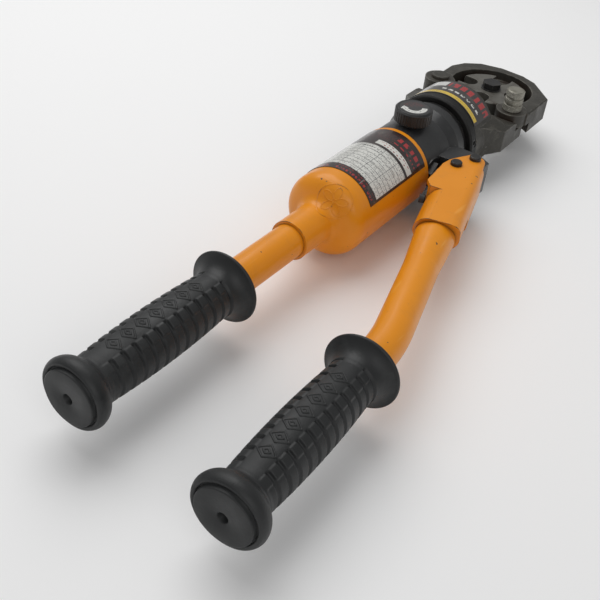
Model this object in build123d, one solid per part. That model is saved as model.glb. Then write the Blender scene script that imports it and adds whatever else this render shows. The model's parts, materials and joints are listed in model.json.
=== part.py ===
from build123d import *
import math
import os

# Hand-pumped hydraulic crimping tool, in millimetres, +Z up.
# The origin is the centre of the rear grip's end face. The main axis runs along +Y, out of the
# rear grip and through the reservoir and pump to the head. The pump handle lies on the +X side.

# ---------------------------------------------------------------- driving dimensions
# rear handle and both grips
tube_radius = 11.0
tube_wall = 1.6
grip_length = 122.0
grip_end_radius = 20.2
grip_waist_radius = 14.4
grip_belly_radius = 16.2
grip_flange_radius = 22.3
grip_flange_thick = 3.0
grip_cap_radius = 16.0
grip_cap_rise = 2.4
grip_end_thick = 6.0
vent_radius = 2.9
rib_count = 12
rib_depth = 1.0
rib_panel_angle = 50.0

# reservoir
neck_start = 183.6
neck_radius = 13.0
neck_fillet = 7.0
shoulder_start = 214.3
shoulder_end = 226.8
tank_radius = 28.2
tank_front = 309.6
tank_wall = 2.0
socket_depth = 12.0
bladder_radius = 22.5
bladder_length = 64.0
label_thick = 0.3
tank_label_start = 234.6
tank_label_angle = 130.0

# pump body and release knob
pump_radius = 27.2
pump_front = 352.0
collar_radius = 30.0
collar_length = 8.0
groove_length = 6.0
groove_radius = 26.0
lock_ring_radius = 28.4
spigot_radius = 23.0
spigot_length = 8.0
tank_spigot_length = 14.0
knob_y = 327.7
knob_top = 38.9
knob_height = 9.4
knob_radius = 13.1
knob_flutes = 36
flute_radius = 0.6
dial_radius = 10.4
filler_y = 338.0
relief_y = 330.0
relief_ball_radius = 2.0
dial_thick = 0.4
spindle_radius = 5.0
spindle_depth = 16.0

# pump drive
pivot_x = 48.5
pivot_y = 335.5
plunger_pin_x = 42.0
plunger_y = 319.5
pin_radius = 3.5
pin_head_radius = 4.0
pin_head_thick = 2.6
clip_thick = 1.0
lug_half = 11.1
lug_reach = 7.6
plunger_radius = 6.0
eye_radius = 7.6
eye_half = 6.8
plunger_reach = 26.0
gland_radius = 9.0
gland_length = 7.0
plate_thick = 3.0

# bracket sleeve and pump handle
sleeve_mouth_x = 66.6
sleeve_mouth_y = 246.0
sleeve_length = 44.0
sleeve_top_half = 13.0
sleeve_fold = 7.0
sleeve_curl = 9.0
sleeve_mouth_slant = 15.0
bumper_place = 40.0
bumper_z = 4.0
sleeve_wall = 2.4
tube_flare_radius = 12.9
flare_length = 34.0
second_grip_x = 101.3
second_grip_y = -9.3
second_grip_lean = 1.95
bend_from_end = 149.0
bend_radius = 120.0

# head
barrel_radius = 33.0
barrel_length = 37.0
head_label_angle = 116.0
head_label_inset = 8.0
cylinder_radius = 21.0
piston_thick = 8.0
rod_radius = 17.0
rod_nose_gap = 5.5
spring_wire = 1.3
spring_turns = 3.5
set_screw_radius = 3.0
set_screw_turn = 78.0
gland_wall = 8.0
front_boss_radius = 22.6
arm_flare_start = 386.0
arm_flare_end = 404.0
arm_ridge = 7.0
hinge_out = 33.0
latch_out = 30.5
pins_y = 437.5
tongue_radius = 11.0
slot_radius = 16.5
yoke_half_thick = 9.5
ear_radius = 12.0
latch_boss_rise = 1.0
hinge_boss_rise = 6.0
yoke_half_width = 43.5
yoke_front = 507.0
floor_thick = 4.0
head_pin_radius = 4.5
hinge_head_radius = 7.0
hinge_head_thick = 2.6
latch_knob_radius = 7.0
latch_knob_height = 16.0

# nest die and indenter
die_y = 465.5
die_radius = 27.5
pocket_radius = 32.6
seat_half_angle = 30.0
seat_height = 8.0
die_top = 8.0
notch_bottom = 12.5
notch_radii = (7.6, 7.2, 6.8, 7.4)
die_bolt_radius = 4.0
bolt_head_flats = 13.0
bolt_head_height = 5.3
indenter_width = 11.0
indenter_reach = 14.1
indenter_foot = 0.8

# clearances and fits
fit = 0.05
slip = 0.3
lap = 0.3
seal_gap = 0.1

# ---------------------------------------------------------------- derived places
pump_back = tank_front - tank_spigot_length
collar_end = pump_front + collar_length
barrel_back = collar_end + groove_length
barrel_front = barrel_back + barrel_length
piston_back = barrel_back + spigot_length + 0.5
piston_front = piston_back + piston_thick
gland_back = barrel_front + 4.0
gland_front = gland_back + gland_wall
rod_front = gland_front + rod_nose_gap
floor_top = floor_thick - yoke_half_thick
die_base = floor_top + lap
hinge_x = -hinge_out
latch_x = latch_out
latch_ear_top = yoke_half_thick + latch_boss_rise
hinge_ear_top = yoke_half_thick + hinge_boss_rise
indenter_mid = (die_base + die_top) / 2
floor_rear = pins_y + 8.0
bracket_half = lug_half + lap + plate_thick
sleeve_bore = tube_flare_radius + fit
sleeve_outer = sleeve_bore + sleeve_wall

parts = {}


def keep(name, shape):
    """Store one finished piece under its node name."""
    parts[name] = shape


def rod(start, along, radius, length):
    """A round bar from a start point along a direction."""
    return extrude(Plane(origin=start, z_dir=along) * Circle(radius), amount=length)


def ring(start, along, outer, inner, length):
    """A round sleeve from a start point along a direction."""
    face = Circle(outer) - Circle(inner)
    return extrude(Plane(origin=start, z_dir=along) * face, amount=length)


def hexagon(start, along, flats, length):
    """A hexagonal bar, sized across its flats."""
    face = RegularPolygon(flats / 2, 6, major_radius=False)
    return extrude(Plane(origin=start, z_dir=along) * face, amount=length)


def turned(profile):
    """A solid of revolution about the main axis, from (radius, y) points."""
    return revolve(make_face(Polyline(*profile, close=True)), axis=Axis.Y)


def slab(outline, low, high):
    """An outline in plan, extruded between two heights."""
    face = make_face(Polyline(*outline, close=True))
    return extrude(Plane.XY.offset(low) * face, amount=high - low)


def block(low, high):
    """A box between two corners."""
    size = [b - a for a, b in zip(low, high)]
    middle = [(a + b) / 2 for a, b in zip(low, high)]
    return Pos(*middle) * Box(*size)


# ---------------------------------------------------------------- grips
def make_grip():
    """One rubber grip about the Y axis, with its end face at y = 0."""
    flange_back = grip_length - grip_flange_thick
    belly_start = grip_cap_rise + 13.5
    flare_start = flange_back - 9.0
    cap_edge = grip_cap_rise
    with BuildPart() as grip:
        with BuildSketch(Plane.XY):
            with BuildLine():
                Line((0, 0), (grip_cap_radius, 0))
                Line((grip_cap_radius, 0), (grip_cap_radius, cap_edge))
                Line((grip_cap_radius, cap_edge), (grip_end_radius - 1.5, cap_edge))
                ThreePointArc((grip_end_radius - 1.5, cap_edge), (grip_end_radius, cap_edge + 5.5),
                              (grip_waist_radius, belly_start))
                ThreePointArc((grip_waist_radius, belly_start),
                              (grip_belly_radius, (belly_start + flare_start) / 2),
                              (grip_waist_radius, flare_start))
                ThreePointArc((grip_waist_radius, flare_start),
                              (grip_waist_radius + 2.3, flange_back - 2.6),
                              (grip_flange_radius, flange_back))
                Line((grip_flange_radius, flange_back), (grip_flange_radius, grip_length))
                Line((grip_flange_radius, grip_length), (0, grip_length))
                Line((0, grip_length), (0, 0))
            make_face()
        revolve(axis=Axis.Y)
    solid = grip.part
    pitch = (flare_start - belly_start) / rib_count
    groove_open = 360.0 - rib_panel_angle
    for number in range(rib_count):
        start = belly_start + (number + 0.7) * pitch
        middle = start + pitch / 4 - belly_start
        half = (flare_start - belly_start) / 2
        bulge = grip_belly_radius - grip_waist_radius
        floor = grip_waist_radius + bulge * (1 - ((middle - half) / half) ** 2) - rib_depth
        face = Pos(0, start + pitch / 4) * Rectangle(2, pitch / 2, align=(Align.MIN, Align.CENTER))
        groove = revolve(Pos(floor, 0) * face, axis=Axis.Y, revolution_arc=groove_open)
        solid -= Rot(0, 90 + rib_panel_angle / 2, 0) * groove
    solid -= rod((0, grip_end_thick, 0), (0, 1, 0), tube_radius + fit, grip_length)
    solid -= rod((0, -1, 0), (0, 1, 0), vent_radius, grip_end_thick + 2)
    return solid


second_grip_place = Pos(second_grip_x, second_grip_y, 0) * Rot(0, 0, second_grip_lean)
keep("rear_grip", make_grip())
keep("pump_grip", second_grip_place * make_grip())

# ---------------------------------------------------------------- rear handle and reservoir
tube_start = grip_end_thick + slip
tube_end = neck_start + socket_depth
keep("rear_handle_tube", ring((0, tube_start, 0), (0, 1, 0), tube_radius, tube_radius - tube_wall,
                              tube_end - tube_start))


def make_reservoir():
    """The bottle-shaped oil reservoir, open at the front, with a socket for the handle tube."""
    rise = (tank_radius - neck_radius) * 0.37
    reach = (shoulder_end - shoulder_start) * 0.74
    with BuildPart() as tank:
        with BuildSketch(Plane.XY):
            with BuildLine():
                Line((0, neck_start), (neck_radius, neck_start))
                Line((neck_radius, neck_start), (neck_radius, shoulder_start))
                Bezier((neck_radius, shoulder_start), (neck_radius + rise, shoulder_start + rise * 0.36),
                       (tank_radius, shoulder_end - reach), (tank_radius, shoulder_end))
                Line((tank_radius, shoulder_end), (tank_radius, tank_front))
                Line((tank_radius, tank_front), (0, tank_front))
                Line((0, tank_front), (0, neck_start))
            make_face()
        revolve(axis=Axis.Y)
    solid = tank.part
    crease = solid.edges().filter_by(GeomType.CIRCLE).group_by(Axis.Y)[1]
    solid = fillet(crease, neck_fillet)
    solid -= rod((0, neck_start - 1, 0), (0, 1, 0), tube_radius + fit, socket_depth + 1 + slip)
    cavity_start = neck_start + socket_depth + 8.0
    cavity = [(0, cavity_start), (neck_radius - tank_wall, cavity_start),
              (neck_radius - tank_wall, shoulder_start + 4),
              (tank_radius - tank_wall, shoulder_end + 2), (tank_radius - tank_wall, tank_front + 1),
              (0, tank_front + 1)]
    return solid - turned(cavity)


keep("reservoir_housing", make_reservoir())
bladder_end = pump_back - slip
spigot_fit = tank_radius - tank_wall - slip
bladder = rod((0, bladder_end - bladder_length, 0), (0, 1, 0), bladder_radius, bladder_length)
keep("oil_bladder", fillet(bladder.edges().sort_by(Axis.Y)[:1], 10.0))
keep("bladder_clamp_ring", ring((0, bladder_end - 5.0, 0), (0, 1, 0), spigot_fit,
                                bladder_radius + fit, 5.0))


def make_wrap(radius, start, length, angle, turn):
    """A thin label that lies on a cylinder about the main axis, centred on a turn from +Z."""
    face = Pos(radius + label_thick / 2, start + length / 2) * Rectangle(label_thick, length)
    sheet = revolve(face, axis=Axis.Y, revolution_arc=angle)
    return Rot(0, turn - 90 - angle / 2, 0) * sheet


tank_label_length = tank_front - 4.0 - tank_label_start
keep("reservoir_label", make_wrap(tank_radius + fit, tank_label_start, tank_label_length,
                                  tank_label_angle, 0))

# ---------------------------------------------------------------- pump body
def make_pump_body():
    """The cast pump block: round body, front collar, spigots and the lug for the handle pivot."""
    profile = [(0, pump_back), (spigot_fit, pump_back), (spigot_fit, tank_front + slip),
               (pump_radius, tank_front + slip),
               (pump_radius, pump_front - 8), (collar_radius, pump_front), (collar_radius, collar_end),
               (groove_radius, collar_end), (groove_radius, barrel_back),
               (spigot_radius, barrel_back), (spigot_radius, barrel_back + spigot_length),
               (0, barrel_back + spigot_length)]
    solid = turned(profile)
    lug_rear = plunger_y + eye_radius + 1.2
    lug = [(10, lug_rear), (pivot_x + 5, lug_rear), (pivot_x + lug_reach, pivot_y + 1),
           (pivot_x + lug_reach, pivot_y + 8), (pivot_x - 3, pivot_y + 14), (10, pivot_y + 14)]
    solid += slab(lug, -lug_half, lug_half)
    boss_reach = plunger_pin_x - eye_radius - 2.0 - gland_length
    boss_length = gland_radius + 3.0
    solid += rod((10, plunger_y, 0), (1, 0, 0), boss_length, boss_reach - 10)
    solid -= rod((plunger_pin_x - 45, plunger_y, 0), (1, 0, 0), plunger_radius + fit, 50)
    seat = boss_reach - gland_length
    solid -= rod((seat, plunger_y, 0), (1, 0, 0), gland_radius - 1.5 + fit, 50)
    solid -= rod((pivot_x, pivot_y, -30), (0, 0, 1), pin_radius + fit, 60)
    clear_eye = block((boss_reach, plunger_y - 13, -lug_half - 1),
                      (pivot_x + 30, lug_rear, lug_half + 1))
    solid -= clear_eye
    solid -= rod((0, knob_y, pump_radius - spindle_depth), (0, 0, 1), spindle_radius + fit, 40)
    solid -= rod((0, filler_y, -pump_radius - 1), (0, 0, 1), 5.0 + fit, 11.0)
    solid -= rod((-pump_radius - 1, relief_y, 0), (1, 0, 0), 6.0 + fit, 12.5)
    solid -= rod((-pump_radius, relief_y, 0), (1, 0, 0), relief_ball_radius + 0.2, 16.5)
    return solid


keep("pump_body", make_pump_body())


def make_socket_plug(start, along, radius, length, key):
    """A flush threaded plug with a hexagon socket in its outer end."""
    plug = rod(start, along, radius, length)
    tip = [s + a * (length - 3.0) for s, a in zip(start, along)]
    return plug - hexagon(tuple(tip), along, key, 4.0)


keep("filler_plug", make_socket_plug((0, filler_y, -pump_radius + 9.5), (0, 0, -1), 5.0, 9.5, 5.0))
keep("relief_valve_plug", make_socket_plug((-pump_radius + 11.5, relief_y, 0), (-1, 0, 0), 6.0,
                                           11.0, 6.0))
keep("relief_ball", Pos(-pump_radius + 14.0, relief_y, 0) * Sphere(relief_ball_radius))

# release valve
knob_base = knob_top - knob_height
spindle_base = pump_radius - spindle_depth + slip
spindle = rod((0, knob_y, spindle_base), (0, 0, 1), spindle_radius, knob_base - spindle_base)
keep("release_spindle", spindle + rod((0, knob_y, knob_base), (0, 0, 1), 3.4, knob_height - 2.0))


def make_knob():
    """The round release knob, bevelled on top and fluted round its side."""
    solid = rod((0, knob_y, knob_base), (0, 0, 1), knob_radius, knob_height)
    solid = chamfer(solid.edges().sort_by(Axis.Z)[-1:], 1.2)
    for number in range(knob_flutes):
        turn = 2 * math.pi * number / knob_flutes
        x = (knob_radius + 0.25) * math.cos(turn)
        y = (knob_radius + 0.25) * math.sin(turn)
        solid -= rod((x, knob_y + y, knob_base - 1), (0, 0, 1), flute_radius, knob_height - 0.8)
    solid -= rod((0, knob_y, knob_base - 1), (0, 0, 1), 3.4 + fit, knob_height - 1.0 + slip)
    return solid - rod((0, knob_y, knob_top - dial_thick), (0, 0, 1), dial_radius + fit, 2)


keep("release_knob", make_knob())
keep("knob_dial", rod((0, knob_y, knob_top - dial_thick), (0, 0, 1), dial_radius, dial_thick))

# ---------------------------------------------------------------- head base
keep("lock_ring", ring((0, collar_end + slip, 0), (0, 1, 0), lock_ring_radius, groove_radius + fit,
                       groove_length - 2 * slip))


def make_arm(pin_x):
    """One flared arm of the base, from the barrel out to its lower-half tongue round a pin."""
    side = math.copysign(1, pin_x)
    out = abs(pin_x) + tongue_radius
    inner = abs(pin_x) - tongue_radius
    rear = arm_flare_start - 8
    outline = [(0, rear), (barrel_radius - 4, rear), (barrel_radius - 1, arm_flare_start),
               (out, arm_flare_end), (out, pins_y), (0, pins_y)]
    plan = slab([(x * side, y) for x, y in outline], -40, 40)
    plan -= block((min(0, inner * side), gland_front, -60), (max(0, inner * side), pins_y + 1, 60))
    plan += rod((pin_x, pins_y, -40), (0, 0, 1), tongue_radius, 80)
    profile = [(rear, 27.0), (arm_flare_end - 8, 24.0), (arm_flare_end + 8, arm_ridge + 2),
               (pins_y - ear_radius, arm_ridge - 1), (pins_y - ear_radius, -lap), (pins_y + 30, -lap),
               (pins_y + 30, -yoke_half_thick), (arm_flare_start + 5, -yoke_half_thick), (rear, -20.0)]
    side_face = make_face(Polyline(*[(0, y, z) for y, z in profile], close=True))
    section = [(0, 27.0), (18, 22.0), (out + 0.2, arm_ridge), (out + 0.2, -yoke_half_thick),
               (30, -14.0), (0, -27.0)]
    end_face = make_face(Polyline(*[(x * side, rear, z) for x, z in section], close=True))
    end_bar = extrude(end_face, amount=200, dir=(0, 1, 0))
    return plan & extrude(side_face, amount=60, both=True) & end_bar


def make_head_base():
    """The forged head base: barrel, flared arms and the two lower-half tongues for the yoke."""
    profile = [(0, barrel_back), (barrel_radius - 1.2, barrel_back), (barrel_radius, barrel_back + 1.2),
               (barrel_radius, barrel_front - 1.2), (barrel_radius - 1.2, barrel_front),
               (0, barrel_front)]
    solid = turned(profile) + make_arm(hinge_x) + make_arm(latch_x)
    boss_start = barrel_front - 1
    solid += rod((0, boss_start, 0), (0, 1, 0), front_boss_radius, gland_front - boss_start)
    for x in (hinge_x, latch_x):
        solid -= rod((x, pins_y, -lap), (0, 0, 1), ear_radius + 0.8, 40)
        solid -= rod((x, pins_y, -40), (0, 0, 1), head_pin_radius + fit, 60)
    solid -= rod((0, barrel_back - 1, 0), (0, 1, 0), spigot_radius + fit, spigot_length + 1 + slip)
    solid -= rod((0, barrel_back, 0), (0, 1, 0), cylinder_radius + fit, gland_back - barrel_back)
    solid -= rod((0, barrel_back, 0), (0, 1, 0), rod_radius + fit, 100)
    solid -= ring((0, gland_front - 3.4, 0), (0, 1, 0), rod_radius + 2.2, rod_radius - 1, 4.0)
    return solid - rod(set_screw_start, set_screw_way, set_screw_radius + fit, 20)


set_screw_y = barrel_back + 5.5
set_screw_lean = math.radians(set_screw_turn)
set_screw_way = (math.sin(set_screw_lean), 0, math.cos(set_screw_lean))
set_screw_depth = spigot_radius + 1.0
set_screw_start = (set_screw_depth * set_screw_way[0], set_screw_y, set_screw_depth * set_screw_way[2])
keep("head_base", make_head_base())
keep("head_set_screw", make_socket_plug(set_screw_start, set_screw_way, set_screw_radius,
                                        barrel_radius - set_screw_depth - 0.6, 3.0))
keep("rod_wiper", ring((0, gland_front - 3.2, 0), (0, 1, 0), rod_radius + 2.1, rod_radius + seal_gap,
                       3.0))
head_label_length = barrel_length - head_label_inset - 3.5
keep("head_label", make_wrap(barrel_radius + fit, barrel_back + head_label_inset, head_label_length,
                             head_label_angle, 0))

# ---------------------------------------------------------------- ram and indenter
def make_ram():
    """The piston and its rod, with a socket in the nose for the indenter."""
    solid = rod((0, piston_back, 0), (0, 1, 0), cylinder_radius, piston_thick)
    solid -= ring((0, piston_back + 2.5, 0), (0, 1, 0), cylinder_radius + 1, cylinder_radius - 2.4, 3.0)
    solid += rod((0, piston_back, 0), (0, 1, 0), rod_radius, rod_front - piston_back)
    solid = chamfer(solid.edges().filter_by(GeomType.CIRCLE).sort_by(Axis.Y)[-1:], 1.5)
    solid -= rod((0, rod_front - 9.0, indenter_mid), (0, 1, 0), 3.5 + fit, 10)
    return solid


keep("ram", make_ram())
keep("piston_seal", ring((0, piston_back + 2.6, 0), (0, 1, 0), cylinder_radius - seal_gap,
                         cylinder_radius - 2.4 + fit, 2.8))


def make_indenter():
    """The indenter: a block with a rounded tip that enters the nest, on a round spigot."""
    tip_radius = indenter_width / 2
    tip_y = rod_front + indenter_reach - tip_radius
    low = die_base
    solid = block((-tip_radius, rod_front, low), (tip_radius, tip_y, die_top))
    tip = rod((0, tip_y, low), (0, 0, 1), tip_radius, die_top - low)
    solid += tip & block((-tip_radius, rod_front, low), (tip_radius, tip_y + tip_radius, die_top))
    foot = tip_radius + indenter_foot
    solid += block((-foot, rod_front, low), (foot, rod_front + 2.5, die_top))
    return solid + rod((0, rod_front - 8.5, indenter_mid), (0, 1, 0), 3.5, 9.0)


keep("indenter", make_indenter())


def make_spring(inner_radius, start, length, wire, turns):
    """A round-wire compression spring about the main axis."""
    radius = inner_radius + wire + slip / 2
    pitch = (length - 2 * wire) / turns
    path = Helix(pitch, pitch * turns, radius, center=(0, 0, 0), direction=(0, 1, 0))
    path = Pos(0, start + wire, 0) * path
    section = Plane(origin=path @ 0, z_dir=path % 0) * Circle(wire)
    return sweep(section, path=path)


keep("return_spring", make_spring(rod_radius, piston_front + 0.1, gland_back - piston_front - 0.2,
                                  spring_wire, spring_turns))

# ---------------------------------------------------------------- yoke
def make_yoke():
    """The closed loop that carries the die, with upper-half ears over the base's tongues."""
    width = yoke_half_width
    rear = pins_y + 2
    outline = [(-width, rear), (-width, 479), (-38, 492), (-27, 502), (-9, yoke_front),
               (11, yoke_front - 1.5), (24, 500), (width, 480), (width, rear)]
    solid = slab(outline, -yoke_half_thick, yoke_half_thick)
    solid = chamfer(solid.faces().sort_by(Axis.Z)[-1].edges(), 1.2)
    solid = chamfer(solid.faces().sort_by(Axis.Z)[0].edges(), 1.2)
    for x, top in ((hinge_x, hinge_ear_top), (latch_x, latch_ear_top)):
        solid += rod((x, pins_y, lap / 2), (0, 0, 1), ear_radius, top - lap / 2)
    low = -yoke_half_thick - 1
    left, right = hinge_x + ear_radius, latch_x - ear_radius
    solid -= block((left, pins_y - 20, low), (right, die_y, hinge_ear_top + 1))
    solid += block((left - 4, floor_rear, -yoke_half_thick), (right + 4, die_y, floor_top))
    pocket = rod((0, die_y, floor_top), (0, 0, 1), pocket_radius, 40)
    seat = ring((0, die_y, floor_top), (0, 0, 1), pocket_radius + 1, die_radius + slip, seat_height)
    reach = pocket_radius + 2
    spread = reach * math.tan(math.radians(seat_half_angle))
    wedge = slab([(0, die_y), (spread, die_y + reach), (-spread, die_y + reach)], -20, 20)
    solid -= pocket - (seat & wedge)
    for x in (hinge_x, latch_x):
        solid -= rod((x, pins_y, low), (0, 0, 1), slot_radius, lap / 2 - low)
        rear_strip = block((x - 20, pins_y - 2, low), (x + 20, pins_y + 2.2, lap / 2))
        solid -= rear_strip
        solid -= rod((x, pins_y, low), (0, 0, 1), head_pin_radius + fit, 60)
    solid -= block((-60, pins_y - 30, low), (60, floor_rear, lap / 2))
    solid -= rod((0, die_y, low), (0, 0, 1), die_bolt_radius + fit, 60)
    return solid


keep("yoke", make_yoke())

hinge_head = rod((hinge_x, pins_y, hinge_ear_top), (0, 0, 1), hinge_head_radius, hinge_head_thick)
hinge_head = fillet(hinge_head.edges().sort_by(Axis.Z)[-1:], 0.9)
clip_z = -yoke_half_thick - lap - clip_thick
hinge_groove = ring((hinge_x, pins_y, clip_z - fit), (0, 0, 1), 10, head_pin_radius - 0.6,
                    clip_thick + 2 * fit)
hinge_pin = rod((hinge_x, pins_y, clip_z - 1.2), (0, 0, 1), head_pin_radius,
                hinge_ear_top - clip_z + 1.2)
keep("hinge_pin", hinge_pin - hinge_groove + hinge_head)
keep("hinge_clip", ring((hinge_x, pins_y, clip_z), (0, 0, 1), head_pin_radius + 2.2,
                        head_pin_radius - 0.6 + fit, clip_thick)
     - block((hinge_x - 1.6, pins_y - 12, clip_z - 1), (hinge_x + 1.6, pins_y, clip_z + 2)))


def make_latch_knob():
    """The ringed, knurled pull head of the latch pin."""
    levels = [(0, 7.0), (4.6, 7.0), (5.0, 6.2), (5.8, 6.2), (6.2, 7.0), (9.6, 6.8), (10.0, 5.9),
              (10.8, 5.9), (11.2, 6.6), (15.2, 6.6), (16.0, 5.8)]
    scale = latch_knob_radius / 7.0
    profile = [(0, 0)] + [(r * scale, h) for h, r in levels] + [(0, levels[-1][0])]
    face = make_face(Polyline(*[(r, 0, h) for r, h in profile], close=True))
    knob = Pos(latch_x, pins_y, latch_ear_top + fit) * revolve(face, axis=Axis.Z)
    return knob - rod((latch_x, pins_y, latch_ear_top - 1), (0, 0, 1), head_pin_radius + fit, 9.0)


keep("latch_knob", make_latch_knob())
latch_tip = -yoke_half_thick + 0.5
latch_pin_top = latch_ear_top + latch_knob_height * 0.47
latch_pin = rod((latch_x, pins_y, latch_tip), (0, 0, 1), head_pin_radius, latch_pin_top - latch_tip)
keep("latch_pin", chamfer(latch_pin.edges().sort_by(Axis.Z)[:1], 1.0))

# ---------------------------------------------------------------- nest die
def make_nest_die():
    """The turning nest die: a disc with four notches of different sizes, one at each quarter."""
    thick = die_top - die_base
    solid = rod((0, die_y, die_base), (0, 0, 1), die_radius, thick)
    solid = chamfer(solid.edges().filter_by(GeomType.CIRCLE), 0.8)
    for number, radius in enumerate(notch_radii):
        centre = notch_bottom + radius
        notch = rod((centre, 0, die_base - 1), (0, 0, 1), radius, thick + 2)
        notch += block((centre, -radius, die_base - 1), (die_radius + 2, radius, die_top + 1))
        solid -= Pos(0, die_y, 0) * Rot(0, 0, 90 * number) * notch
    return solid - rod((0, die_y, die_base - 1), (0, 0, 1), die_bolt_radius + fit, thick + 2)


keep("nest_die", make_nest_die())
keep("die_washer", ring((0, die_y, die_top + fit), (0, 0, 1), 8.0, die_bolt_radius + fit, 0.8))
head_base_z = die_top + fit + 0.8
bolt_head = hexagon((0, die_y, head_base_z), (0, 0, 1), bolt_head_flats, bolt_head_height - 0.8)
keep("die_bolt", bolt_head + rod((0, die_y, -yoke_half_thick + 0.3), (0, 0, 1), die_bolt_radius,
                                 head_base_z + yoke_half_thick - 0.3))

# ---------------------------------------------------------------- pump drive
def make_plunger():
    """The pump plunger, with a slotted eye that lets its pin follow the handle's arc."""
    start = plunger_pin_x - plunger_reach
    solid = rod((start, plunger_y, 0), (1, 0, 0), plunger_radius, plunger_reach - 3)
    eye = rod((plunger_pin_x, plunger_y, -eye_half), (0, 0, 1), eye_radius, 2 * eye_half)
    solid += eye
    slot_half = 1.5
    slot = block((plunger_pin_x - pin_radius - 1.0, plunger_y - slot_half - 1.0, -20),
                 (plunger_pin_x + pin_radius + 1.0, plunger_y + slot_half + 0.4, 20))
    slot += rod((plunger_pin_x, plunger_y - slot_half, -20), (0, 0, 1), pin_radius + 1.0, 40)
    slot += rod((plunger_pin_x, plunger_y + 0.4, -20), (0, 0, 1), pin_radius + 1.0, 40)
    return solid - slot


keep("pump_plunger", make_plunger())
gland_seat = plunger_pin_x - eye_radius - 2.0 - 2 * gland_length
gland = ring((gland_seat + 0.2, plunger_y, 0), (1, 0, 0), gland_radius - 1.5, plunger_radius + fit,
             gland_length + 0.5)
gland_head = hexagon((gland_seat + gland_length + 0.2, plunger_y, 0), (1, 0, 0), 2 * gland_radius - 1.0, 3.6)
gland_head -= rod((gland_seat, plunger_y, 0), (1, 0, 0), plunger_radius + fit, 30)
keep("plunger_gland", gland + gland_head)


def make_cross_pin(x, y, length_below):
    """A headed pin through both bracket plates, grooved for a clip under the lower plate."""
    top = bracket_half
    bottom = -bracket_half - length_below
    pin = rod((x, y, bottom), (0, 0, 1), pin_radius, top - bottom)
    head = rod((x, y, top), (0, 0, 1), pin_head_radius, pin_head_thick)
    head = chamfer(head.edges().sort_by(Axis.Z)[-1:], 0.6)
    groove = ring((x, y, -bracket_half - lap - clip_thick - fit), (0, 0, 1), 9, pin_radius - 0.5,
                  clip_thick + 2 * fit)
    return pin + head - groove


def make_clip(x, y):
    """An open retaining clip in a cross pin's groove."""
    low = -bracket_half - lap - clip_thick
    clip = ring((x, y, low), (0, 0, 1), pin_radius + 2.0, pin_radius - 0.5 + fit, clip_thick)
    return clip - block((x - 1.3, y - 9, low - 1), (x + 1.3, y, low + 2))


for name, x, y in (("pivot", pivot_x, pivot_y), ("plunger", plunger_pin_x, plunger_y)):
    keep(name + "_pin", make_cross_pin(x, y, 2.6))
    keep(name + "_pin_clip", make_clip(x, y))

# ---------------------------------------------------------------- handle bracket
grip_way = (-math.sin(math.radians(second_grip_lean)), math.cos(math.radians(second_grip_lean)))
bend_x = second_grip_x + grip_way[0] * bend_from_end
bend_y = second_grip_y + grip_way[1] * bend_from_end
run_x = sleeve_mouth_x - bend_x
run_y = sleeve_mouth_y - bend_y
run_length = math.hypot(run_x, run_y)
way = (run_x / run_length, run_y / run_length)
side_way = (way[1], -way[0])
pivot_reach = (pivot_x - sleeve_mouth_x) * way[0] + (pivot_y - sleeve_mouth_y) * way[1]


def along_sleeve(distance, aside=0.0):
    """A plan point at a distance up the sleeve from its mouth, and aside from its axis."""
    return (sleeve_mouth_x + way[0] * distance + side_way[0] * aside,
            sleeve_mouth_y + way[1] * distance + side_way[1] * aside)


def across_sleeve(shape, length):
    """A section across the sleeve's axis at its mouth, drawn out along the sleeve."""
    plane = Plane(origin=(*along_sleeve(0), 0), x_dir=(*side_way, 0), z_dir=(*way, 0))
    return extrude(plane * shape, amount=length)


def make_sleeve():
    """The sleeve round the tube: round below, flat on top, folded outside and curled down inside."""
    width = sleeve_top_half + sleeve_outer
    top = Pos(width / 2 - sleeve_top_half, -bracket_half / 2) * Rectangle(width, bracket_half)
    top = fillet(top.vertices().group_by(Axis.Y)[0].sort_by(Axis.X)[0], sleeve_curl)
    top = fillet(top.vertices().group_by(Axis.X)[-1].sort_by(Axis.Y)[0], sleeve_fold)
    below = Circle(sleeve_outer) - Pos(0, -bracket_half - 10) * Rectangle(60, 20)
    solid = across_sleeve(below + top, sleeve_length)
    plane = Plane(origin=(*along_sleeve(0), 0), x_dir=(*way, 0), z_dir=(*side_way, 0))
    wedge = [(-1, sleeve_outer + 1), (0, sleeve_outer), (sleeve_mouth_slant, -sleeve_outer),
             (sleeve_mouth_slant, -sleeve_outer - 1), (-1, -sleeve_outer - 1)]
    face = plane * make_face(Polyline(*wedge, close=True))
    return solid - extrude(face, amount=2 * sleeve_outer, both=True)


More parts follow.
